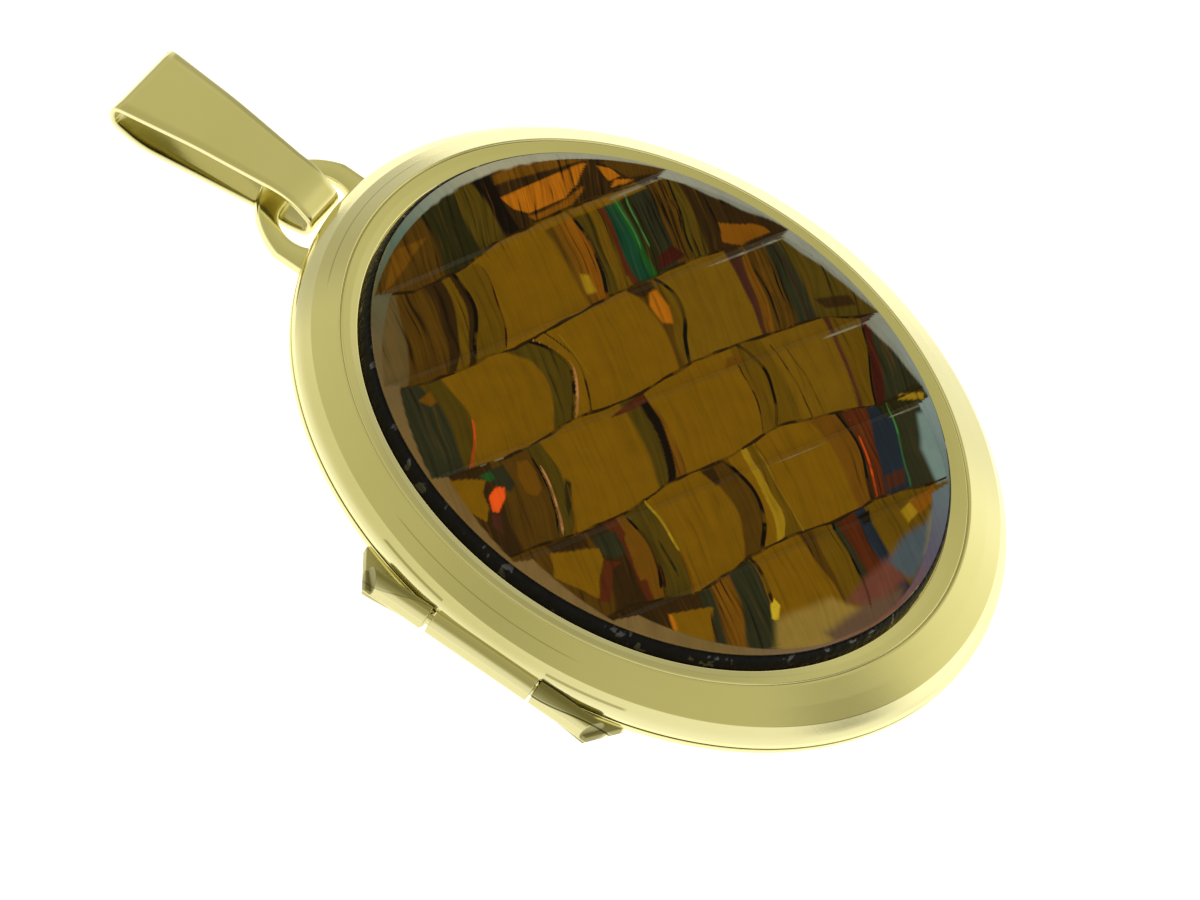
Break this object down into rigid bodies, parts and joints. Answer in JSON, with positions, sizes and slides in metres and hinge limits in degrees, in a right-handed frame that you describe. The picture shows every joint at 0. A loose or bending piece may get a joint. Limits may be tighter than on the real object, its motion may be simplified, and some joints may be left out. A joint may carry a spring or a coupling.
{
  "type": "medallion pendant",
  "caption": "Round hinged locket pendant: flat-backed gold case, bevelled lid set with a large strip-cut amber glass stone, slotted eye and folded strap bail.",
  "frame": {"origin": "centre of the case's flat back, on the plane that it rests on", "axes": "+Z out of the front of the locket, +Y towards the bail, the hinge on the -X side"},
  "size_m": [0.0317, 0.0405, 0.0038],
  "materials": {
    "polished_gold": "polished pale greenish-yellow gold plating",
    "amber_glass": "clear olive-amber cut glass",
    "foil": "embossed metallic foil",
    "black_cement": "glossy black setting cement"
  },
  "bodies": {
    "case": {"back_shell": "polished_gold", "hinge_pin": "polished_gold"},
    "lid": {"lid": "polished_gold", "stone": "amber_glass", "foil_backing": "foil", "setting_ring": "black_cement"},
    "bail": {"bail": "polished_gold"}
  },
  "joints": [
    {"name": "lid_hinge", "type": "hinge", "parent": "case", "child": "lid", "pos_m": [-0.0157, 0.00043, 0.0015], "axis": [0, -1, 0], "range_deg": [0, 150]},
    {"name": "bail_swing", "type": "hinge", "parent": "case", "child": "bail", "pos_m": [0, 0.01778, 0.00113], "axis": [1, 0, 0], "range_deg": [-85, 85]}
  ]
}
